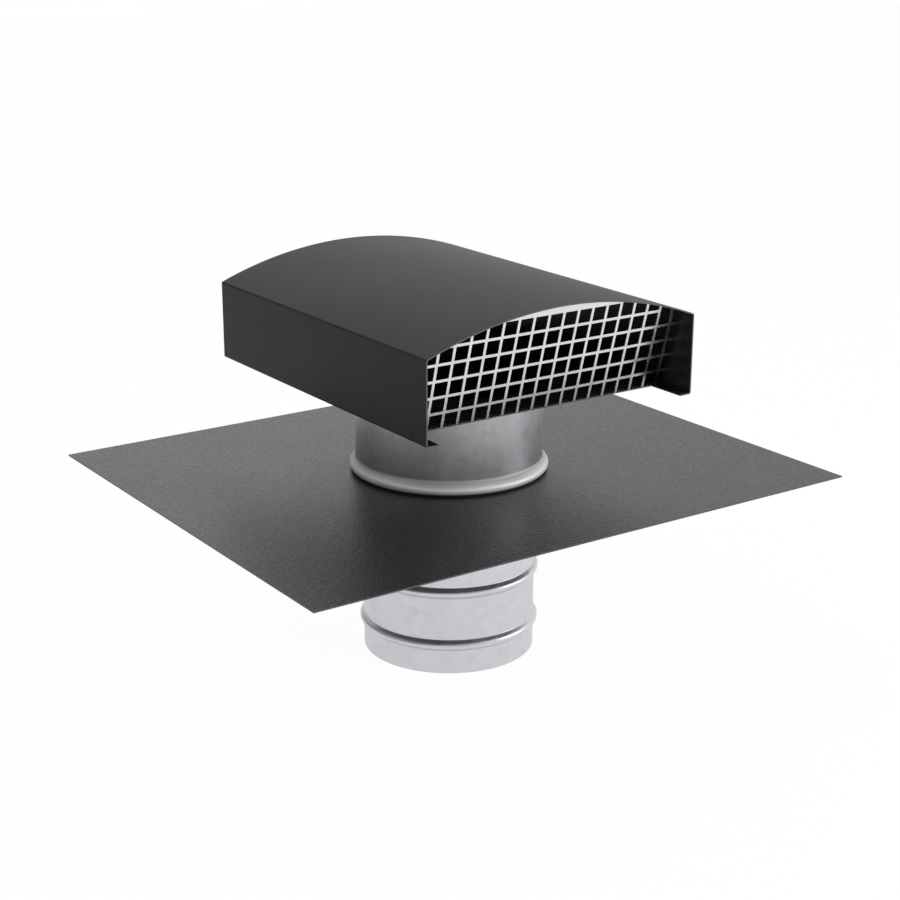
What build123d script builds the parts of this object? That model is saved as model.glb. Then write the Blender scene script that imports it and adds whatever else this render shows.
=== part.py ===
"""Roof vent outlet: an arched hood, open at both ends, on a round duct with a flat flashing plate.

Millimetres, +Z up. The origin is the centre of the duct tube's lower end. X runs across the hood, and
the front grille faces -Y.
"""
from build123d import *
import math
import os

# Duct tube
duct_od = 123.4
duct_wall = 0.7
duct_below_plate = 134.5
bead_out = 2.9
bead_crest = 2.6
bead_root = 1.2
bead_flank = 43.0
lower_bead_height = 21.5
bead_spacing = 39.5
crimp_out = 3.0
crimp_gap = 0.6
crimp_root = 0.4
duct_flange = 8.0
duct_bend = 0.8

# Flashing plate
plate_width = 434.0
plate_depth = 354.0
plate_sheet = 1.0
plate_bend = 0.6
boss_run = 1.0
boss_clearance = 0.3
tube_clearance = 0.3

# Rubber ring under the collar
seal_height = 0.8
seal_inset = 2.0

# Weather collar
collar_gap = 4.8
collar_wall = 0.7
collar_height = 67.5
hem_out = 4.3
hem_low = 3.0
hem_high = 3.0
hem_shoulder = 45.0
hem_root = 3.0
hem_flat = 0.4

# Hood cover and floor
hood_width = 218.0
hood_length = 266.0
hood_side = 56.4
hood_rise = 20.7
hood_sheet = 1.0
hood_bend = 0.6
hood_flange = 9.4
floor_clearance = 0.4

# Grilles
grille_sheet = 1.0
grille_bend = 0.3
grille_lean = 15.0
grille_setback = 29.0
grille_pitch = 12.0
grille_hole = 10.0
grille_first_hole = 1.2
grille_foot = 14.0
grille_clearance = 0.3
grille_edge_gap = 0.5

# Blind rivets
rivet_diameter = 3.2
rivet_hole_clearance = 0.1
rivet_head = 6.0
rivet_head_height = 1.0
rivet_tail = 4.8
rivet_tail_height = 1.4
rivet_recess = 1.9
floor_rivet_pitch = 80.0
grille_rivet_pitch = 72.0

# Levels
crimp_height = 2 * duct_wall + crimp_gap
plate_under = duct_below_plate
boss_under = plate_under + crimp_height
plate_top = plate_under + plate_sheet
seal_top = plate_top + seal_height
hem_side = seal_top + hem_low + hem_high * math.tan(math.radians(hem_shoulder / 2)) + hem_flat
hem_top = hem_side + hem_out / math.tan(math.radians(hem_shoulder))
hood_bottom = plate_top + collar_height
floor_under = hood_bottom + hood_sheet
floor_top = floor_under + hood_sheet
side_top = hood_bottom + hood_side
hood_top = side_top + hood_rise
foot_under = floor_under - grille_sheet

# Radii and half sizes
duct_r = duct_od / 2
collar_r = duct_r + collar_gap + collar_wall
hem_r = collar_r + hem_out
plate_hole_r = duct_r + crimp_root + tube_clearance
boss_r = duct_r + crimp_out + boss_clearance
boss_foot_r = boss_r + boss_run
boss_turn = math.atan2(crimp_height, boss_run)
plate_flat_r = boss_foot_r + (plate_sheet + plate_bend) * math.tan(boss_turn / 2)
seal_inner_r = plate_flat_r + tube_clearance
floor_hole_r = duct_r + duct_bend + tube_clearance
half_width = hood_width / 2
half_length = hood_length / 2
arch_r = (half_width**2 + hood_rise**2) / (2 * hood_rise)
arch_centre = hood_top - arch_r
flange_edge = half_width - hood_flange
grille_y = half_length - grille_setback
floor_half_length = grille_y - grille_sheet - grille_edge_gap
floor_half_width = half_width - hood_sheet - hood_bend - floor_clearance
rivet_recess_top = rivet_head_height * 0.35
rivet_hole_r = (rivet_diameter + rivet_hole_clearance) / 2
floor_rivet_x = half_width - (hood_flange + hood_sheet + hood_bend) / 2
grille_rivet_y = grille_y - (grille_foot + grille_sheet + grille_bend) / 2

# Rivet places
floor_rivet_spots = [(x, y) for x in (-floor_rivet_x, floor_rivet_x)
                     for y in (-floor_rivet_pitch, 0, floor_rivet_pitch)]
front_rivet_spots = [(x, -grille_rivet_y) for x in (-grille_rivet_pitch, 0, grille_rivet_pitch)]
rear_rivet_spots = [(x, grille_rivet_y) for x in (-grille_rivet_pitch, 0, grille_rivet_pitch)]

# The room inside the hood that a grille fills, clear of roof, sides and return flanges
room_half = half_width - hood_sheet - grille_clearance
room_foot = flange_edge - grille_clearance
room_low = floor_under + grille_clearance
room_r = arch_r - hood_sheet - grille_clearance
lean_cos = math.cos(math.radians(grille_lean))
lean_sin = math.sin(math.radians(grille_lean))
grille_reach = (hood_top - foot_under) / lean_cos


def bead(middle):
    """The three corners of a rolled bead on the duct's outer line, before they are rounded."""
    flank = math.radians(bead_flank)
    corner = bead_out + bead_crest * (1 / math.sin(flank) - 1)
    half = corner * math.tan(flank)
    return [(duct_r, middle - half), (duct_r + corner, middle), (duct_r, middle + half)]


def blind_rivet(grip):
    """A set blind rivet on the Z axis, with its head's contact face at height zero."""
    with BuildPart() as rivet:
        with BuildSketch(Plane.XZ):
            with BuildLine():
                Polyline(
                    (rivet_tail * 0.3, grip + rivet_tail_height),
                    (0, grip + rivet_tail_height),
                    (0, -rivet_recess_top),
                    (rivet_recess / 2, -rivet_recess_top),
                    (rivet_recess / 2, -rivet_head_height),
                )
                ThreePointArc(
                    (rivet_recess / 2, -rivet_head_height),
                    (rivet_head * 0.36, -rivet_head_height * 0.78),
                    (rivet_head / 2, -rivet_head_height * 0.25),
                )
                Polyline(
                    (rivet_head / 2, -rivet_head_height * 0.25),
                    (rivet_head / 2, 0),
                    (rivet_diameter / 2, 0),
                    (rivet_diameter / 2, grip),
                    (rivet_tail / 2, grip),
                )
                ThreePointArc(
                    (rivet_tail / 2, grip),
                    (rivet_tail * 0.45, grip + rivet_tail_height * 0.6),
                    (rivet_tail * 0.3, grip + rivet_tail_height),
                )
            make_face()
        revolve(axis=Axis.Z)
    return rivet.part


def arch_height(x):
    """Height of the grille room's arch above a place across the hood."""
    return arch_centre + math.sqrt(room_r**2 - x**2)


def hole_spots():
    """Square holes of a grille: whole ones by their centres, and ones cut by the arch by their lower edges."""
    whole = []
    cut = []
    columns = int(room_half / grille_pitch + 0.5)
    rows = int((grille_reach - grille_first_hole) / grille_pitch)
    web = grille_pitch - grille_hole
    for column in range(-columns, columns + 1):
        x = column * grille_pitch
        outer = min(abs(x) + grille_hole / 2, room_half)
        top = (arch_height(outer) - foot_under) / lean_cos
        for row in range(rows):
            low = grille_first_hole + row * grille_pitch
            if low + grille_hole + web / 2 < top:
                whole.append((x, low + grille_hole / 2))
            elif low + web < top:
                cut.append((x, low))
    return whole, cut


# Hood cover: flange, side, arched roof, side and flange in one folded sheet
with BuildPart() as hood_cover:
    with BuildSketch(Plane.XZ) as cover_section:
        with BuildLine():
            Polyline(
                (half_width, side_top),
                (half_width, hood_bottom),
                (-half_width, hood_bottom),
                (-half_width, side_top),
            )
            ThreePointArc((-half_width, side_top), (0, hood_top), (half_width, side_top))
        make_face()
        fillet(cover_section.vertices(), radius=hood_bend + hood_sheet)
        offset(amount=-hood_sheet, mode=Mode.SUBTRACT)
        with Locations((0, hood_bottom)):
            Rectangle(2 * flange_edge, 3 * hood_sheet, mode=Mode.SUBTRACT)
    extrude(amount=half_length, both=True)
    with BuildSketch(Plane.XY.offset(hood_bottom)):
        with Locations(*floor_rivet_spots):
            Circle(rivet_hole_r)
    extrude(amount=hood_sheet, mode=Mode.SUBTRACT)
hood_cover.part.label = "hood_cover"

# Hood floor: flat sheet on the return flanges, with a hole for the duct
with BuildPart() as hood_floor:
    with BuildSketch(Plane.XY.offset(floor_under)):
        Rectangle(2 * floor_half_width, 2 * floor_half_length)
        Circle(floor_hole_r, mode=Mode.SUBTRACT)
        with Locations(*floor_rivet_spots, *front_rivet_spots, *rear_rivet_spots):
            Circle(rivet_hole_r, mode=Mode.SUBTRACT)
    extrude(amount=hood_sheet)
hood_floor.part.label = "hood_floor"

# Front grille: leaning perforated sheet with a foot folded back under the floor, trimmed to the hood
whole_holes, cut_holes = hole_spots()
grille_plane = Plane((0, -grille_y, foot_under), x_dir=(1, 0, 0), z_dir=(0, -lean_cos, -lean_sin))
with BuildPart() as front_grille:
    with BuildSketch(Plane.YZ):
        with BuildLine():
            FilletPolyline(
                (-grille_y + grille_foot, foot_under),
                (-grille_y, foot_under),
                (-grille_y - grille_reach * lean_sin, foot_under + grille_reach * lean_cos),
                radius=grille_bend + grille_sheet,
            )
            offset(amount=grille_sheet, side=Side.RIGHT)
        make_face()
    extrude(amount=half_width, both=True)
    with BuildSketch(Plane.XZ):
        with BuildLine():
            Polyline(
                (-room_half, arch_height(room_half)),
                (-room_half, room_low),
                (-room_foot, room_low),
                (-room_foot, foot_under),
                (room_foot, foot_under),
                (room_foot, room_low),
                (room_half, room_low),
                (room_half, arch_height(room_half)),
            )
            ThreePointArc(
                (room_half, arch_height(room_half)),
                (0, arch_height(0)),
                (-room_half, arch_height(room_half)),
            )
        make_face()
    extrude(amount=half_length, both=True, mode=Mode.INTERSECT)
    with BuildSketch(grille_plane):
        with Locations(*whole_holes):
            Rectangle(grille_hole, grille_hole)
        with Locations(*cut_holes):
            Rectangle(grille_hole, 2 * grille_pitch, align=(Align.CENTER, Align.MIN))
    extrude(amount=-grille_sheet, mode=Mode.SUBTRACT)
    with BuildSketch(Plane.XY.offset(foot_under)):
        with Locations(*front_rivet_spots):
            Circle(rivet_hole_r)
    extrude(amount=grille_sheet, mode=Mode.SUBTRACT)
front_grille.part.label = "front_grille"

# Rear grille: the front one turned to the other open end
with BuildPart() as rear_grille:
    add(front_grille.part)
    mirror(about=Plane.XZ, mode=Mode.REPLACE)
rear_grille.part.label = "rear_grille"

# Weather collar: sleeve up to the hood floor, its base rolled into a round hem on the rubber ring
with BuildPart() as weather_collar:
    with BuildSketch(Plane.XZ):
        with BuildLine():
            FilletPolyline(
                (collar_r, seal_top),
                (hem_r, seal_top),
                (hem_r, hem_side),
                (collar_r, hem_top),
                (collar_r, floor_under),
                radius=[hem_low, hem_high, hem_root],
            )
            offset(amount=collar_wall, side=Side.LEFT)
        make_face()
    revolve(axis=Axis.Z)
weather_collar.part.label = "weather_collar"

# Rubber ring around the boss, between the collar and the plate
with BuildPart() as collar_seal:
    with BuildSketch(Plane.XY.offset(plate_top)):
        Circle(hem_r - seal_inset)
        Circle(seal_inner_r, mode=Mode.SUBTRACT)
    extrude(amount=seal_height)
collar_seal.part.label = "collar_seal"

# Flashing plate: flat sheet laid on the roof, pressed up into a low boss that takes the duct's fold
with BuildPart() as flashing_plate:
    with BuildSketch(Plane.XZ):
        with BuildLine():
            FilletPolyline(
                (plate_hole_r, boss_under),
                (boss_r, boss_under),
                (boss_foot_r, plate_under),
                (seal_inner_r, plate_under),
                radius=[plate_bend, plate_bend + plate_sheet],
            )
            offset(amount=plate_sheet, side=Side.LEFT)
        make_face()
    revolve(axis=Axis.Z)
    with BuildSketch(Plane.XY.offset(plate_under)):
        Rectangle(plate_width, plate_depth)
        Circle(seal_inner_r, mode=Mode.SUBTRACT)
    extrude(amount=plate_sheet)
flashing_plate.part.label = "flashing_plate"

# Duct tube: two rolled beads, a flat fold inside the plate's boss and a rim turned over the hood floor
crimp_tip = crimp_height * 0.49
with BuildPart() as duct_tube:
    with BuildSketch(Plane.XZ):
        with BuildLine():
            FilletPolyline(
                (duct_r, 0),
                *bead(lower_bead_height),
                *bead(lower_bead_height + bead_spacing),
                (duct_r, plate_under),
                (duct_r + crimp_out, plate_under),
                (duct_r + crimp_out, boss_under),
                (duct_r, boss_under),
                (duct_r, floor_top),
                (duct_r + duct_flange, floor_top),
                radius=[
                    bead_root, bead_crest, bead_root,
                    bead_root, bead_crest, bead_root,
                    crimp_root, crimp_tip, crimp_tip, crimp_root,
                    duct_bend,
                ],
            )
            offset(amount=duct_wall, side=Side.LEFT)
        make_face()
    revolve(axis=Axis.Z)
duct_tube.part.label = "duct_tube"

# Blind rivets: floor to return flanges, and grille feet to floor
with BuildPart() as floor_rivets:
    with Locations(*[(x, y, hood_bottom) for x, y in floor_rivet_spots]):
        add(blind_rivet(2 * hood_sheet))
floor_rivets.part.label = "floor_rivets"

with BuildPart() as front_grille_rivets:
    with Locations(*[(x, y, foot_under) for x, y in front_rivet_spots]):
        add(blind_rivet(grille_sheet + hood_sheet))
front_grille_rivets.part.label = "front_grille_rivets"

with BuildPart() as rear_grille_rivets:
    with Locations(*[(x, y, foot_under) for x, y in rear_rivet_spots]):
        add(blind_rivet(grille_sheet + hood_sheet))
rear_grille_rivets.part.label = "rear_grille_rivets"

os.makedirs("parts", exist_ok=True)
export_step(hood_cover.part, "parts/hood_cover.step")
export_step(hood_floor.part, "parts/hood_floor.step")
export_step(front_grille.part, "parts/front_grille.step")
export_step(rear_grille.part, "parts/rear_grille.step")
export_step(weather_collar.part, "parts/weather_collar.step")
export_step(collar_seal.part, "parts/collar_seal.step")
export_step(flashing_plate.part, "parts/flashing_plate.step")
export_step(duct_tube.part, "parts/duct_tube.step")
export_step(floor_rivets.part, "parts/floor_rivets.step")
export_step(front_grille_rivets.part, "parts/front_grille_rivets.step")
export_step(rear_grille_rivets.part, "parts/rear_grille_rivets.step")
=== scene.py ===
import math

import bmesh
import bpy
from bpy.props import FloatProperty, FloatVectorProperty, IntProperty, PointerProperty
from bpy.types import Operator, Panel, PropertyGroup
from mathutils import Matrix, Vector


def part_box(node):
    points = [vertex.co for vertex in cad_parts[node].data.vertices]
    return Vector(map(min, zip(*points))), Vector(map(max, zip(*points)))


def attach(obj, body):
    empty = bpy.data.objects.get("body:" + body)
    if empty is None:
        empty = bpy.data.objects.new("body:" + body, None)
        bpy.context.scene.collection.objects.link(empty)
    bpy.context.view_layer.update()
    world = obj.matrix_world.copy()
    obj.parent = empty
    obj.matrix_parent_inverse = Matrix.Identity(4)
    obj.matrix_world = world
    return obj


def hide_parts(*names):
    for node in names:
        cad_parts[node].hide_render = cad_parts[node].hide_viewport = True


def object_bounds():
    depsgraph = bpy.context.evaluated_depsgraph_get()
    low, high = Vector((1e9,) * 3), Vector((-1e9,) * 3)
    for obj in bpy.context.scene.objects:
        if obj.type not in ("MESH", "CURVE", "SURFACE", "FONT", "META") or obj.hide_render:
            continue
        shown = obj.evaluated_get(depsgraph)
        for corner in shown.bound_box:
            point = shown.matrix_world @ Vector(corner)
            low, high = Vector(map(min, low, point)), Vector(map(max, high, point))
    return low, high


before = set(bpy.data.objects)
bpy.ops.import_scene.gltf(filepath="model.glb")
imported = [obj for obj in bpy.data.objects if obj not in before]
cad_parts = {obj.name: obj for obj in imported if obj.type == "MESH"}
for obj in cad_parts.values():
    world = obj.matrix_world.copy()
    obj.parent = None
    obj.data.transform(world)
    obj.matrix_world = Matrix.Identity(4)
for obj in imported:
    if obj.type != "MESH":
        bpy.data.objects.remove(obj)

bl_info = {
    "name": "Roof Vent Outlet",
    "version": (1, 0, 0),
    "blender": (4, 5, 0),
    "location": "3D View > Sidebar > Outlet",
    "description": "Dresses a sheet-metal roof vent outlet and sets its studio",
    "category": "Object",
}

CAD_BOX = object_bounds()
HOOD_LOW, HOOD_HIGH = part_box("hood_cover")
PLATE_LOW, PLATE_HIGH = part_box("flashing_plate")
COLLAR_LOW, COLLAR_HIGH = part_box("weather_collar")
DUCT_LOW, DUCT_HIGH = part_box("duct_tube")
FLOOR_LOW, FLOOR_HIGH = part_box("hood_floor")

TOUCH = 1e-6  # metres within which two places count as one
FOLD_SEGMENTS = 6  # facets across each rounded fold
SHARP_ANGLE = math.radians(40)  # edges that turn further than this stay crisp
SENSOR = 36  # width of the camera's sensor in millimetres

# The picture's right and its depth, as level directions
PICTURE_RIGHT = (0.82, -0.57, 0)
PICTURE_DEPTH = (0.57, 0.82, 0)

# Name, place, target, width, watts, and whether glossy surfaces mirror the lamp
LAMPS = (
    ("Key softbox", (1.0, -2.0, 0.9), (0, -0.1, 0.2), 0.9, 30, False),
    ("Top softbox", (0.3, 0.6, 2.2), (0, 0, 0.2), 2.0, 24, False),
    ("Low softbox", (1.25, -1.0, 0.35), (0, 0, 0.1), 0.8, 4, True),
)


def length(name, description, default):
    """A length in metres that a user may change."""
    return FloatProperty(name=name, description=description, default=default, precision=5, unit="LENGTH")


def angle(name, description, degrees):
    """An angle that a user may change, written in degrees."""
    return FloatProperty(
        name=name, description=description, default=math.radians(degrees), unit="ROTATION"
    )


def colour(name, description, default):
    """A colour that a user may change."""
    return FloatVectorProperty(
        name=name, description=description, default=default, size=3, min=0, max=1, subtype="COLOR"
    )


class HoodSizes(PropertyGroup):
    """Sizes of the folded hood cover."""

    sheet: length("Sheet", "Thickness of the hood sheet", 0.001)
    rise: length("Arch rise", "Height of the roof arch above the creases", 0.0207)
    bend: length("Bend", "Outer radius of the folds", 0.0016)
    flange: length("Flange", "Width of the return flange under each side", 0.0094)
    arch_steps: IntProperty(name="Arch steps", description="Facets across the roof arch", default=64)


class TubeSizes(PropertyGroup):
    """Sizes of the rolled collar and duct tube."""

    wall: length("Wall", "Thickness of the tube sheet", 0.0007)
    duct_radius: length("Duct radius", "Outer radius of the duct tube", 0.0617)
    lower_bead: length("Lower bead", "Height of the lower bead above the duct end", 0.0215)
    bead_spacing: length("Bead spacing", "Distance between the two beads", 0.0395)
    bead_out: length("Bead projection", "How far a bead stands out of the tube", 0.0029)
    bead_crest: length("Bead crest", "Radius of a bead's crest", 0.0026)
    bead_root: length("Bead root", "Radius where a bead leaves the tube", 0.0012)
    bead_flank: angle("Bead flank", "Slope of a bead's flanks", 43)
    crimp_out: length("Crimp", "Width of the flat fold inside the plate's boss", 0.003)
    crimp_gap: length("Crimp gap", "Gap left inside the flat fold", 0.0006)
    crimp_root: length("Crimp root", "Radius where the flat fold leaves the tube", 0.0004)
    rim_bend: length("Rim bend", "Radius of the rim turned over the hood floor", 0.0008)
    collar_radius: length("Collar radius", "Outer radius of the weather collar", 0.0672)
    hem_out: length("Hem projection", "How far the rolled hem stands out of the collar", 0.0043)
    hem_low: length("Hem lower radius", "Radius of the hem's lower half", 0.003)
    hem_high: length("Hem upper radius", "Radius of the hem's upper half", 0.003)
    hem_shoulder: angle("Hem shoulder", "Slope of the hem's shoulder from the vertical", 45)
    hem_root: length("Hem root", "Radius where the hem leaves the collar", 0.003)
    hem_flat: length("Hem flat", "Straight stretch between the hem's halves", 0.0004)
    turn_steps: IntProperty(name="Turn steps", description="Facets around a tube", default=192)


class PlateSizes(PropertyGroup):
    """Sizes of the flashing plate."""

    sheet: length("Sheet", "Thickness of the plate", 0.001)
    hole: length("Hole radius", "Radius of the hole for the duct", 0.0624)
    boss_radius: length("Boss radius", "Inner radius of the low boss around the hole", 0.065)
    boss_run: length("Boss run", "Width of the boss's sloping wall", 0.001)
    boss_rise: length("Boss rise", "Height of the boss", 0.002)
    bend: length("Bend", "Inner radius of the boss's bends", 0.0006)
    eighth_steps: IntProperty(
        name="Eighth steps",
        description="Facets in each eighth turn, so that four meet the corners",
        default=16,
    )


class FinishColours(PropertyGroup):
    """Colours of the finishes."""

    hood_paint: colour("Hood paint", "Satin paint on the hood", (0.0125, 0.0125, 0.0127))
    plate_paint: colour("Plate paint", "Paint on the flashing plate", (0.004, 0.0041, 0.0044))
    hood_inside: colour("Hood inside", "Black satin paint on the inner walls", (0.012, 0.012, 0.012))
    # Matt black inside the hood: partly paint, partly painted shade in the duct's mouth, on the flange tops
    # and on the rivet tails
    inner_paint: colour("Inner paint", "Matt black in the hood and duct mouth", (0.012, 0.012, 0.012))
    zinc: colour("Zinc", "Galvanised duct tube", (0.66, 0.67, 0.695))
    collar_zinc: colour("Collar zinc", "Dull galvanised collar", (0.5, 0.505, 0.52))
    # The hem's zinc is painted darker at its root and lighter at its crest: a painted highlight with
    # painted shade
    hem_crest_highlight_zinc: colour("Hem zinc", "Zinc rubbed bright by the rolling of the hem", (0.60, 0.605, 0.615))
    floor_zinc: colour("Floor zinc", "Light zinc under the hood floor", (0.85, 0.855, 0.86))
    grille_zinc: colour("Grille zinc", "Galvanised grilles", (0.75, 0.75, 0.755))
    cut_edge: colour("Cut edge", "Thinly painted sheared edges", (0.09, 0.09, 0.09))
    rubber: colour("Rubber", "Rubber ring under the collar", (0.008, 0.008, 0.008))
    rivet: colour("Rivet", "Aluminium rivets", (0.62, 0.62, 0.62))


class StageSizes(PropertyGroup):
    """Camera and floor."""

    azimuth: angle("Azimuth", "Camera's turn about the vertical, from looking along +Y", -34.716)
    elevation: angle("Elevation", "Camera's height angle", 17.884)
    roll: angle("Roll", "Camera's turn about its own line of sight", 0.165)
    eye: FloatVectorProperty(
        name="Eye",
        description="Camera's place",
        default=(-0.6855, -0.9907, 0.5357),
        size=3,
        subtype="TRANSLATION",
    )
    lens: FloatProperty(
        name="Lens", description="Focal length on a 36 mm sensor", default=70.34, unit="CAMERA"
    )
    floor_half: length("Floor", "Half width of the studio floor", 6.0)


class Signal:
    """A shader socket that takes part in Python arithmetic. Each operation adds its own Math node."""

    def __init__(self, socket):
        self.socket = socket

    def math(self, operation, *values):
        node = self.socket.id_data.nodes.new("ShaderNodeMath")
        node.operation = operation
        for entry, value in zip(node.inputs, values):
            connect(entry, value)
        return Signal(node.outputs[0])

    def __add__(self, other):
        return self.math("ADD", self, other)

    def __sub__(self, other):
        return self.math("SUBTRACT", self, other)

    def __rsub__(self, other):
        return self.math("SUBTRACT", other, self)

    def __mul__(self, other):
        return self.math("MULTIPLY", self, other)

    __radd__ = __add__
    __rmul__ = __mul__


def connect(entry, value):
    """Links a signal to a socket, or sets the socket's own value."""
    if isinstance(value, Signal):
        entry.id_data.links.new(value.socket, entry)
    else:
        entry.default_value = value


class Shading:
    """A node tree and the one way to add a node to it."""

    def __init__(self, tree):
        self.tree = tree

    def add(self, kind, sockets=None, output=0, stops=None, **settings):
        """Adds a node: its settings first, then a ramp's stops, then its sockets' values or links."""
        node = self.tree.nodes.new(kind)
        for name, value in settings.items():
            setattr(node, name, value)
        if stops:
            ramp = node.color_ramp.elements
            while len(ramp) < len(stops):
                ramp.new(0.5)
            for element, (position, tone) in zip(ramp, stops):
                element.position = position
                element.color = (tone, tone, tone, 1)
        for name, value in (sockets or {}).items():
            connect(node.inputs[name], value)
        return Signal(node.outputs[output])

    def fade(self, value, start, end):
        """Runs between two levels while value runs between two places. Each end is (place, level)."""
        return self.add(
            "ShaderNodeMapRange",
            {
                "Value": value,
                "From Min": start[0],
                "From Max": end[0],
                "To Min": start[1],
                "To Max": end[1],
            },
        )


class Finish(Shading):
    """A procedural material on a Principled shader, patterned on Object coordinates."""

    def __init__(self, name):
        self.material = bpy.data.materials.new(name)
        self.material.use_nodes = True
        super().__init__(self.material.node_tree)
        self.shader = self.tree.nodes["Principled BSDF"]
        self.place = self.add("ShaderNodeTexCoord", output="Object")

    def set(self, **values):
        for name, value in values.items():
            connect(self.shader.inputs[name.replace("_", " ")], value)

    def noise(self, scale, detail=3.0, roughness=0.55):
        return self.add(
            "ShaderNodeTexNoise",
            {"Vector": self.place, "Scale": scale, "Detail": detail, "Roughness": roughness},
        )

    def tint(self, factor, dark, light):
        return self.add(
            "ShaderNodeMix",
            {"Factor": factor, 6: (*dark, 1), 7: (*light, 1)},
            output=2,
            data_type="RGBA",
        )

    def bump(self, height, strength, distance):
        return self.add(
            "ShaderNodeBump", {"Height": height, "Strength": strength, "Distance": distance}
        )


def shade(tone, factor):
    """A colour made lighter or darker."""
    return tuple(min(1.0, channel * factor) for channel in tone)


def satin_paint(name, tone, roughness, peel, gloss, fleck=0.0, sheen=(0.96, 0.975, 1)):
    """Sprayed paint: fine orange peel, with slow changes of gloss and, at will, glossier flecks."""
    paint = Finish(name)
    cloud = paint.noise(14, 2)
    grain = paint.noise(1100, 2)
    peel_height = paint.noise(420, 2, 0.5)
    paint.set(
        Base_Color=paint.tint(cloud * 0.5 + grain * 0.5, shade(tone, 0.8), shade(tone, 1.2)),
        Roughness=grain * 0.16 + cloud * 0.06 + (roughness - 0.11),
        Normal=paint.bump(peel_height, peel, 0.0004),
    )
    paint.set(Specular_IOR_Level=gloss, Specular_Tint=(*sheen, 1))
    if fleck:
        spots = paint.noise(520, 3, 0.7)
        flecks = paint.add("ShaderNodeValToRGB", {"Fac": spots}, stops=((0.38, 0.0), (0.62, fleck)))
        paint.set(Coat_Weight=flecks, Coat_Roughness=roughness)
    return paint.material


def matt_paint(name, tone):
    """Dull paint with a dusty grain."""
    paint = Finish(name)
    grain = paint.noise(700, 3)
    paint.set(
        Base_Color=paint.tint(grain, shade(tone, 0.8), shade(tone, 1.25)),
        Roughness=grain * 0.1 + 0.8,
        Normal=paint.bump(grain, 0.2, 0.0003),
    )
    paint.set(Specular_IOR_Level=0.004)
    return paint.material


def half_painted(name, tone, metal_tone, bare):
    """Matt black on one side of a zinc-coated piece: paint on the hood floor's top that also stands for the
    shade inside the hood, and painted shade on the rivet tails. bare(finish) is 1 where the metal shows.
    """
    sheet = Finish(name)
    grain = sheet.noise(700, 3)
    cloud = sheet.noise(130, 4, 0.6)
    shows = bare(sheet)
    metal = sheet.tint(cloud, shade(metal_tone, 0.85), shade(metal_tone, 1.15))
    paint = sheet.tint(grain, shade(tone, 0.8), shade(tone, 1.25))
    sheet.set(
        Base_Color=sheet.add(
            "ShaderNodeMix", {"Factor": shows, 6: paint, 7: metal}, output=2, data_type="RGBA"
        ),
        Metallic=shows * 0.3,
        Roughness=grain * 0.1 + (0.8 - shows * 0.4),
        Normal=sheet.bump(grain, 0.1, 0.0003),
    )
    sheet.set(Specular_IOR_Level=0.02)
    return sheet.material


def underside(finish):
    """1 on faces that look down."""
    facing = finish.add("ShaderNodeTexCoord", output="Normal")
    height = finish.add("ShaderNodeSeparateXYZ", {"Vector": facing}, output="Z")
    return height.math("LESS_THAN", height, -0.5)


def below_floor(finish):
    """1 under the hood floor's top side."""
    height = finish.add("ShaderNodeSeparateXYZ", {"Vector": finish.place}, output="Z")
    return height.math("LESS_THAN", height, FLOOR_HIGH.z)


def galvanised(name, tone, roughness, spangle, contrast):
    """Zinc coating: crystal spangle that changes tone and gloss from grain to grain."""
    zinc = Finish(name)
    crystal = zinc.add(
        "ShaderNodeTexVoronoi", {"Vector": zinc.place, "Scale": 1 / spangle}, output="Color"
    )
    tone_of = zinc.add("ShaderNodeSeparateColor", {"Color": crystal}, output="Red")
    gloss_of = zinc.add("ShaderNodeSeparateColor", {"Color": crystal}, output="Green")
    cloud = zinc.noise(1.1 / spangle, 4, 0.6)
    mottle = tone_of * 0.25 + cloud * 0.75
    zinc.set(
        Base_Color=zinc.tint(mottle, shade(tone, 1 - contrast), shade(tone, 1 + contrast)),
        Roughness=gloss_of * 0.06 + cloud * 0.12 + (roughness - 0.09),
        Normal=zinc.bump(cloud, 0.12, 0.0006),
    )
    zinc.set(Metallic=1.0)
    return zinc.material


def crest_highlight_zinc(name, tone, root, crest):
    """Zinc painted darker at a hem's root radius and lighter towards its crest radius: painted shade at the
    root, a painted highlight along the crest.
    """
    zinc = Finish(name)
    across = zinc.add("ShaderNodeSeparateXYZ", {"Vector": zinc.place}, output="X")
    along = zinc.add("ShaderNodeSeparateXYZ", {"Vector": zinc.place}, output="Y")
    radius = across.math("SQRT", across * across + along * along)
    # Painted highlight: the colour lightens from the hem's root to its crest, where the light catches the
    # bead
    crest_light = zinc.fade(radius, (root, 0), (crest, 1))
    cloud = zinc.noise(180, 4, 0.6)
    zinc.set(
        Base_Color=zinc.tint(crest_light * 0.8 + cloud * 0.2, shade(tone, 0.5), shade(tone, 1.35)),
        Roughness=cloud * 0.12 + 0.42,
        Normal=zinc.bump(cloud, 0.12, 0.0006),
    )
    zinc.set(Metallic=0.5)
    return zinc.material


def sheared_metal(name, tone):
    """Bare edge of a cut sheet, with fine shear marks."""
    edge = Finish(name)
    marks = edge.noise(1600, 2)
    edge.set(
        Base_Color=edge.tint(marks, shade(tone, 0.8), shade(tone, 1.2)),
        Roughness=marks * 0.15 + 0.4,
    )
    edge.set(Metallic=0.5)
    return edge.material


def rubber(name, tone):
    """Black rubber with a soft bloom."""
    ring = Finish(name)
    bloom = ring.noise(300, 3)
    ring.set(
        Base_Color=ring.tint(bloom, shade(tone, 0.8), shade(tone, 1.4)),
        Roughness=bloom * 0.15 + 0.65,
    )
    return ring.material


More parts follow.
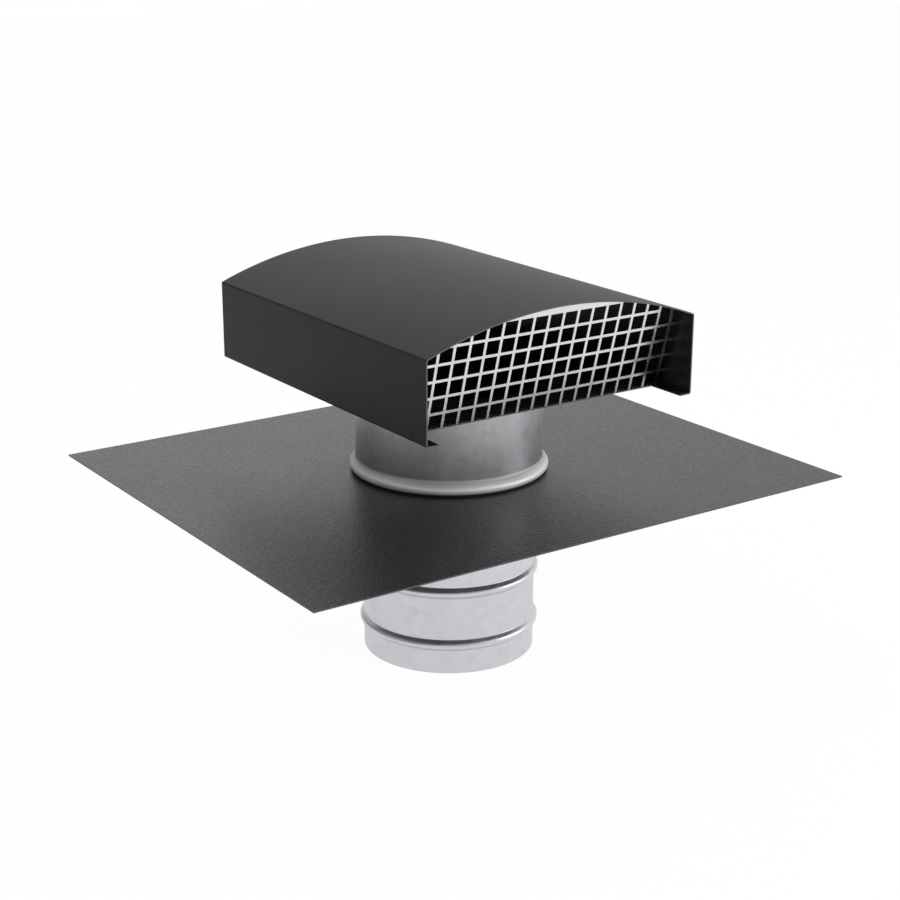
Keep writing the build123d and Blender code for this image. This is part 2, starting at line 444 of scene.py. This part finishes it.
def finishes():
    """The outlet's materials by name, made once."""
    tones = bpy.context.scene.outlet_colours
    tubes = bpy.context.scene.outlet_tubes
    made = bpy.data.materials
    makers = {
        "hood_paint": lambda name: satin_paint(
            name, tones.hood_paint, roughness=0.46, peel=0.10, gloss=0.185
        ),
        "plate_paint": lambda name: satin_paint(
            name, tones.plate_paint, roughness=0.38, peel=0.9, gloss=0.75, fleck=0.42, sheen=(0.84, 0.92, 1)
        ),
        "hood_inside": lambda name: satin_paint(
            name, tones.hood_inside, roughness=0.34, peel=0.10, gloss=0.22
        ),
        # Matt black that stands for painted shade: on the hood's flange tops and in the duct's mouth
        "painted_shade_black": lambda name: matt_paint(name, tones.inner_paint),
        "tube_zinc": lambda name: galvanised(
            name, tones.zinc, roughness=0.34, spangle=0.008, contrast=0.11
        ),
        "collar_zinc": lambda name: galvanised(
            name, tones.collar_zinc, roughness=0.40, spangle=0.006, contrast=0.2
        ),
        # A painted highlight along the hem's crest, with painted shade at its root
        "hem_crest_highlight_zinc": lambda name: crest_highlight_zinc(
            name, tones.hem_crest_highlight_zinc, root=tubes.collar_radius, crest=tubes.collar_radius + tubes.hem_out
        ),
        "grille_zinc": lambda name: galvanised(
            name, tones.grille_zinc, roughness=0.27, spangle=0.009, contrast=0.12
        ),
        "cut_edge": lambda name: sheared_metal(name, tones.cut_edge),
        "black_rubber": lambda name: rubber(name, tones.rubber),
        "floor_sheet": lambda name: half_painted(name, tones.inner_paint, tones.floor_zinc, underside),
        # The rivet tails above the floor's top are matt black: painted shade inside the hood
        "rivet_metal_and_shade": lambda name: half_painted(name, tones.inner_paint, tones.rivet, below_floor),
    }
    return {name: made[name] if name in made else make(name) for name, make in makers.items()}


def add_piece(name, shape, node, slot, *materials):
    """Turns a finished bmesh into a piece that stands for a CAD node and rides on the root body."""
    mesh = bpy.data.meshes.new(name)
    shape.to_mesh(mesh)
    shape.free()
    mesh.shade_smooth()
    mesh.set_sharp_from_angle(angle=SHARP_ANGLE)
    piece = bpy.data.objects.new(name, mesh)
    bpy.context.scene.collection.objects.link(piece)
    for material in materials:
        mesh.materials.append(material)
    normals = piece.modifiers.new("Even normals", "WEIGHTED_NORMAL")
    normals.keep_sharp = True
    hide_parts(node)
    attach(piece, "root")


def dress_node(node, material):
    """Gives a CAD node its finish."""
    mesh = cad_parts[node].data
    mesh.materials.clear()
    mesh.materials.append(material)


def thicken(shape, outward, wall):
    """Turns an open sheet's faces along outward, then gives it a wall on the inner side."""

    def reach(face):
        middle = face.calc_center_median()
        return outward(middle).dot(middle)

    faces = shape.faces[:]
    bmesh.ops.recalc_face_normals(shape, faces=faces)
    probe = max(faces, key=reach)
    if probe.normal.dot(outward(probe.calc_center_median())) < 0:
        bmesh.ops.reverse_faces(shape, faces=faces)
    shape.normal_update()
    bmesh.ops.solidify(shape, geom=faces, thickness=wall)
    bmesh.ops.recalc_face_normals(shape, faces=shape.faces[:])
    loose = sum(not edge.is_manifold for edge in shape.edges)
    if loose:
        raise RuntimeError(f"the sheet has {loose} open edges")


def round_edges(shape, width, reach, height, setback):
    """Rounds the edges at a height whose ends all lie at a reach, which width(place) measures."""
    edges = [
        edge
        for edge in shape.edges
        if all(
            abs(width(v.co) - reach) < TOUCH and abs(v.co.z - height) < TOUCH
            for v in edge.verts
        )
    ]
    if not edges:
        raise RuntimeError(f"no edges to round at reach {reach} and height {height}")
    bmesh.ops.bevel(
        shape,
        geom=edges,
        offset=setback,
        offset_type="OFFSET",
        affect="EDGES",
        segments=FOLD_SEGMENTS,
        profile=0.5,
        material=-1,
    )


def off_axis(place):
    """Distance from the duct's axis."""
    return math.hypot(place.x, place.y)


def turned_line(line, rounds, steps):
    """A surface turned from a line of (radius, height) points, with each corner rounded."""
    shape = bmesh.new()
    verts = [shape.verts.new((radius, 0, height)) for radius, height in line]
    edges = [shape.edges.new(pair) for pair in zip(verts, verts[1:])]
    bmesh.ops.spin(
        shape,
        geom=verts + edges,
        cent=(0, 0, 0),
        axis=(0, 0, 1),
        angle=math.tau,
        steps=steps,
        use_merge=True,
    )
    bmesh.ops.remove_doubles(shape, verts=shape.verts[:], dist=TOUCH)
    for before, corner, after, rounding in zip(line, line[1:], line[2:], rounds):
        into = Vector(corner) - Vector(before)
        out = Vector(after) - Vector(corner)
        setback = rounding * math.tan(into.angle(out) / 2)
        round_edges(shape, off_axis, *corner, setback)
    return shape


def turned_sheet(line, rounds, wall, steps):
    """A tube of sheet turned from its outer line, with its wall on the inner side."""
    shape = turned_line(line, rounds, steps)
    thicken(shape, lambda place: Vector((place.x, place.y, 0)), wall)
    return shape


class OUTLET_OT_hood_cover(Operator):
    """Fold the hood cover from one sheet: flange, side, arched roof, side and flange"""

    bl_idname = "outlet.hood_cover"
    bl_label = "Hood Cover"

    def execute(self, context):
        sizes = context.scene.outlet_hood
        half = HOOD_HIGH.x
        crease = HOOD_HIGH.z - sizes.rise
        arch_radius = (half**2 + sizes.rise**2) / (2 * sizes.rise)
        span = math.asin(half / arch_radius)
        shape = bmesh.new()
        left = shape.verts.new((-half, HOOD_LOW.y, crease))
        arch = bmesh.ops.spin(
            shape,
            geom=[left],
            cent=(0, HOOD_LOW.y, HOOD_HIGH.z - arch_radius),
            axis=(0, 1, 0),
            angle=2 * span,
            steps=sizes.arch_steps,
        )
        right = next(v for v in arch["geom_last"] if isinstance(v, bmesh.types.BMVert))
        for end in (left, right):
            side = math.copysign(1, end.co.x)
            low = bmesh.ops.extrude_vert_indiv(shape, verts=[end])["verts"][0]
            low.co.z = HOOD_LOW.z
            lip = bmesh.ops.extrude_vert_indiv(shape, verts=[low])["verts"][0]
            lip.co.x -= side * sizes.flange
        drawn = bmesh.ops.extrude_edge_only(shape, edges=shape.edges[:])["geom"]
        bmesh.ops.translate(
            shape,
            verts=[v for v in drawn if isinstance(v, bmesh.types.BMVert)],
            vec=(0, HOOD_HIGH.y - HOOD_LOW.y, 0),
        )
        for height, turn in ((crease, math.pi / 2 - span), (HOOD_LOW.z, math.pi / 2)):
            setback = sizes.bend * math.tan(turn / 2)
            round_edges(shape, lambda place: abs(place.x), half, height, setback)
        thicken(shape, lambda place: Vector((0, 0, 1)), sizes.sheet)
        level = (HOOD_LOW.z + crease) / 2
        # Index 3 puts matt black on the flange tops: painted shade on the flanges inside the hood
        sheared, inner_wall, flange_top_shade = 1, 2, 3
        for face in shape.faces:
            middle = face.calc_center_median()
            if abs(face.normal.y) > 0.9:
                face.material_index = sheared
            elif face.normal.x * middle.x + face.normal.z * (middle.z - level) < 0:
                face.material_index = flange_top_shade if face.normal.z > 0.9 else inner_wall
        made = finishes()
        add_piece(
            "hood_cover_sheet", shape, "hood_cover", "paint",
            made["hood_paint"], made["cut_edge"], made["hood_inside"], made["painted_shade_black"],
        )
        return {"FINISHED"}


class OUTLET_OT_flashing_plate(Operator):
    """Cut the flat flashing plate and press up the low boss around its hole"""

    bl_idname = "outlet.flashing_plate"
    bl_label = "Flashing Plate"

    def execute(self, context):
        sizes = context.scene.outlet_plate
        foot = sizes.boss_radius + sizes.boss_run
        line = [
            (sizes.hole, PLATE_LOW.z + sizes.boss_rise),
            (sizes.boss_radius, PLATE_LOW.z + sizes.boss_rise),
            (foot, PLATE_LOW.z),
            (foot + 2 * sizes.boss_run, PLATE_LOW.z),
        ]
        rounds = [sizes.bend, sizes.bend + sizes.sheet]
        shape = turned_line(line, rounds, 8 * sizes.eighth_steps)
        rim = [
            edge
            for edge in shape.edges
            if edge.is_boundary and all(off_axis(v.co) > foot for v in edge.verts)
        ]
        drawn = bmesh.ops.extrude_edge_only(shape, edges=rim)["geom"]
        for v in drawn:
            if isinstance(v, bmesh.types.BMVert):
                reach = max(abs(v.co.x), abs(v.co.y))
                v.co.x *= PLATE_HIGH.x / reach
                v.co.y *= PLATE_HIGH.y / reach
        thicken(shape, lambda place: Vector((0, 0, -1)), sizes.sheet)
        for face in shape.faces:
            outer = off_axis(face.calc_center_median()) > 2 * foot
            if outer and abs(face.normal.z) < 0.5:
                face.material_index = 1  # the sheared edge
        made = finishes()
        add_piece(
            "flashing_plate_sheet", shape, "flashing_plate", "paint",
            made["plate_paint"], made["cut_edge"],
        )
        return {"FINISHED"}


class OUTLET_OT_weather_collar(Operator):
    """Roll the weather collar with its round hem, and finish the rubber ring"""

    bl_idname = "outlet.weather_collar"
    bl_label = "Weather Collar and Seal"

    def execute(self, context):
        sizes = context.scene.outlet_tubes
        radius = sizes.collar_radius
        hem = radius + sizes.hem_out
        upright = sizes.hem_low + sizes.hem_flat + sizes.hem_high * math.tan(sizes.hem_shoulder / 2)
        shoulder = COLLAR_LOW.z + upright
        line = [
            (radius, COLLAR_LOW.z),
            (hem, COLLAR_LOW.z),
            (hem, shoulder),
            (radius, shoulder + sizes.hem_out / math.tan(sizes.hem_shoulder)),
            (radius, COLLAR_HIGH.z),
        ]
        rounds = [sizes.hem_low, sizes.hem_high, sizes.hem_root]
        shape = turned_sheet(line, rounds, sizes.wall, sizes.turn_steps)
        for face in shape.faces:
            if off_axis(face.calc_center_median()) > radius + 10 * TOUCH:
                face.material_index = 1  # the hem
        made = finishes()
        add_piece(
            "weather_collar_sheet", shape, "weather_collar", "galvanised",
            made["collar_zinc"], made["hem_crest_highlight_zinc"],
        )
        dress_node("collar_seal", made["black_rubber"])
        return {"FINISHED"}


class OUTLET_OT_duct_tube(Operator):
    """Roll the duct tube with its beads, the flat fold in the plate's boss and the turned rim"""

    bl_idname = "outlet.duct_tube"
    bl_label = "Duct Tube"

    def execute(self, context):
        sizes = context.scene.outlet_tubes
        radius = sizes.duct_radius
        corner = sizes.bead_out + sizes.bead_crest * (1 / math.sin(sizes.bead_flank) - 1)
        half = corner * math.tan(sizes.bead_flank)
        line = [(radius, DUCT_LOW.z)]
        rounds = []
        for middle in (sizes.lower_bead, sizes.lower_bead + sizes.bead_spacing):
            line += [(radius, middle - half), (radius + corner, middle), (radius, middle + half)]
            rounds += [sizes.bead_root, sizes.bead_crest, sizes.bead_root]
        fold = 2 * sizes.wall + sizes.crimp_gap
        fold_round = fold * 0.49  # just under half, so that the two rounds stay apart
        line += [
            (radius, PLATE_LOW.z),
            (radius + sizes.crimp_out, PLATE_LOW.z),
            (radius + sizes.crimp_out, PLATE_LOW.z + fold),
            (radius, PLATE_LOW.z + fold),
            (radius, FLOOR_HIGH.z),
            (DUCT_HIGH.x, FLOOR_HIGH.z),
        ]
        rounds += [sizes.crimp_root, fold_round, fold_round, sizes.crimp_root, sizes.rim_bend]
        shape = turned_sheet(line, rounds, sizes.wall, sizes.turn_steps)
        for face in shape.faces:
            middle = face.calc_center_median()
            inside = face.normal.x * middle.x + face.normal.y * middle.y < 0
            # The black on the rim and on the inside above the plate is painted shade in the duct's mouth
            if middle.z > FLOOR_LOW.z or (inside and middle.z > PLATE_HIGH.z):
                face.material_index = 1  # the black mouth
        made = finishes()
        add_piece(
            "duct_tube_sheet", shape, "duct_tube", "galvanised",
            made["tube_zinc"], made["painted_shade_black"],
        )
        return {"FINISHED"}


class OUTLET_OT_grilles(Operator):
    """Finish the two perforated grilles, the hood floor and the rivets that hold them"""

    bl_idname = "outlet.grilles"
    bl_label = "Grilles, Floor and Rivets"

    def execute(self, context):
        made = finishes()
        for node in ("front_grille", "rear_grille"):
            dress_node(node, made["grille_zinc"])
        for node in ("floor_rivets", "front_grille_rivets", "rear_grille_rivets"):
            dress_node(node, made["rivet_metal_and_shade"])
        dress_node("hood_floor", made["floor_sheet"])
        return {"FINISHED"}


class OUTLET_OT_stage(Operator):
    """Lay the pale floor, hang the soft lamps and set the camera"""

    bl_idname = "outlet.stage"
    bl_label = "Studio"

    def execute(self, context):
        sizes = context.scene.outlet_stage
        self.lay_floor(context, sizes)
        self.light_world(context)
        for lamp in LAMPS:
            self.hang_lamp(context, *lamp)
        self.place_camera(context, sizes)
        context.scene.view_settings.view_transform = "Standard"
        return {"FINISHED"}

    def seen_directly(self, shading):
        """1 for a ray that shows the white studio: straight from the camera, mirrored or through glass."""
        camera, glossy, through = (
            shading.add("ShaderNodeLightPath", output=ray)
            for ray in ("Is Camera Ray", "Is Glossy Ray", "Is Transmission Ray")
        )
        return camera.math("MINIMUM", camera + glossy + through, 1.0)

    def lay_floor(self, context, sizes):
        """A level sheet of white paper under the duct's end."""
        shape = bmesh.new()
        bmesh.ops.create_grid(shape, x_segments=2, y_segments=2, size=sizes.floor_half)
        bmesh.ops.translate(shape, verts=shape.verts[:], vec=(0, 0, CAD_BOX[0].z))
        mesh = bpy.data.meshes.new("studio_floor")
        shape.to_mesh(mesh)
        shape.free()
        floor = bpy.data.objects.new("studio_floor", mesh)
        context.scene.collection.objects.link(floor)
        paper = Finish("studio_paper")
        paper.set(Base_Color=(0.9, 0.9, 0.9, 1), Roughness=0.9)
        glow = paper.add("ShaderNodeEmission", {"Color": (1, 1, 1, 1), "Strength": 1.0})
        lit = Signal(paper.shader.outputs["BSDF"])
        mirrored = paper.add("ShaderNodeLightPath", output="Is Glossy Ray")
        # Nearly white to the camera, with a trace of shadow, and a little greyer in the metal
        white_share = self.seen_directly(paper) * 0.97 - mirrored * 0.19
        mixed = paper.add("ShaderNodeMixShader", {0: white_share, 1: lit, 2: glow})
        # Clear from underneath, so that the outlet can be looked at from below
        below = paper.add("ShaderNodeNewGeometry", output="Backfacing")
        clear = paper.add("ShaderNodeBsdfTransparent")
        sheet = paper.add("ShaderNodeMixShader", {0: below, 1: mixed, 2: clear})
        connect(paper.tree.nodes["Material Output"].inputs["Surface"], sheet)
        mesh.materials.append(paper.material)

    def light_world(self, context):
        """A white room, with what the metal and the paint mirror of it."""
        world = bpy.data.worlds.new("studio_white")
        world.use_nodes = True
        context.scene.world = world
        sky = Shading(world.node_tree)
        seen = self.seen_directly(sky)
        mirrored = sky.add("ShaderNodeLightPath", output="Is Glossy Ray")
        towards = sky.add("ShaderNodeTexCoord", output="Generated")
        across, depth = (
            sky.add("ShaderNodeVectorMath", {0: towards, 1: line}, output="Value", operation="DOT_PRODUCT")
            for line in (PICTURE_RIGHT, PICTURE_DEPTH)
        )
        height = sky.add("ShaderNodeSeparateXYZ", {"Vector": towards}, output="Z")
        # Three dark places that only mirrored rays meet: a screen on the left, a grey card behind on the
        # right, and the dim room on the camera's side
        screen = sky.fade(across, (-0.25, 0), (-0.85, 0.9)) * sky.fade(height, (0.22, 1), (0.6, 0))
        card = sky.fade(across, (0, 0), (0.15, 0.29)) * sky.fade(depth, (0.8, 0), (0.95, 1))
        dusk = sky.fade(depth, (-0.35, 0), (-0.85, 0.57)) * sky.fade(height, (0.0, 0), (0.15, 1))
        background = world.node_tree.nodes["Background"]
        background.inputs["Color"].default_value = (1, 1, 1, 1)
        # White where it is seen, and half as strong where it only lights
        connect(background.inputs["Strength"], seen * 0.5 + 0.5 - mirrored * (screen + card + dusk))

    def hang_lamp(self, context, name, place, target, width, watts, mirrored):
        """A square soft lamp that looks at its target."""
        lamp = bpy.data.lights.new(name, "AREA")
        lamp.shape = "SQUARE"
        lamp.size = width
        lamp.energy = watts
        holder = bpy.data.objects.new(name, lamp)
        holder.location = place
        holder.rotation_euler = (Vector(target) - Vector(place)).to_track_quat("-Z", "Y").to_euler()
        holder.visible_camera = False
        holder.visible_glossy = mirrored
        context.scene.collection.objects.link(holder)

    def place_camera(self, context, sizes):
        """The photograph's view."""
        turn, rise = sizes.azimuth, sizes.elevation
        back = Vector((
            math.sin(turn) * math.cos(rise),
            -math.cos(turn) * math.cos(rise),
            math.sin(rise),
        ))
        right = Vector((math.cos(turn), math.sin(turn), 0))
        level = Matrix((right, back.cross(right), back)).transposed()
        aim = level @ Matrix.Rotation(sizes.roll, 3, "Z")
        data = bpy.data.cameras.new("Camera")
        data.sensor_width = SENSOR
        data.lens = sizes.lens
        camera = bpy.data.objects.new("Camera", data)
        camera.matrix_world = Matrix.Translation(sizes.eye) @ aim.to_4x4()
        context.scene.collection.objects.link(camera)
        context.scene.camera = camera


class OUTLET_PT_panel(Panel):
    """Lists the outlet's pieces and its stage"""

    bl_idname = "OUTLET_PT_panel"
    bl_label = "Roof Vent Outlet"
    bl_space_type = "VIEW_3D"
    bl_region_type = "UI"
    bl_category = "Outlet"

    def draw(self, context):
        for operator in PIECES:
            self.layout.operator(operator.bl_idname)
        for group in GROUPS:
            for name in GROUPS[group].__annotations__:
                self.layout.prop(getattr(context.scene, group), name)


PIECES = (
    OUTLET_OT_hood_cover,
    OUTLET_OT_flashing_plate,
    OUTLET_OT_weather_collar,
    OUTLET_OT_duct_tube,
    OUTLET_OT_grilles,
    OUTLET_OT_stage,
)
GROUPS = {
    "outlet_hood": HoodSizes,
    "outlet_tubes": TubeSizes,
    "outlet_plate": PlateSizes,
    "outlet_colours": FinishColours,
    "outlet_stage": StageSizes,
}


def register():
    for group, kind in GROUPS.items():
        bpy.utils.register_class(kind)
        setattr(bpy.types.Scene, group, PointerProperty(type=kind))
    for kind in (*PIECES, OUTLET_PT_panel):
        bpy.utils.register_class(kind)


def unregister():
    for kind in (OUTLET_PT_panel, *reversed(PIECES)):
        bpy.utils.unregister_class(kind)
    for group, kind in reversed(GROUPS.items()):
        delattr(bpy.types.Scene, group)
        bpy.utils.unregister_class(kind)


def main():
    register()
    bpy.ops.outlet.hood_cover()
    bpy.ops.outlet.flashing_plate()
    bpy.ops.outlet.weather_collar()
    bpy.ops.outlet.duct_tube()
    bpy.ops.outlet.grilles()
    bpy.ops.outlet.stage()


if __name__ == "__main__":
    main()
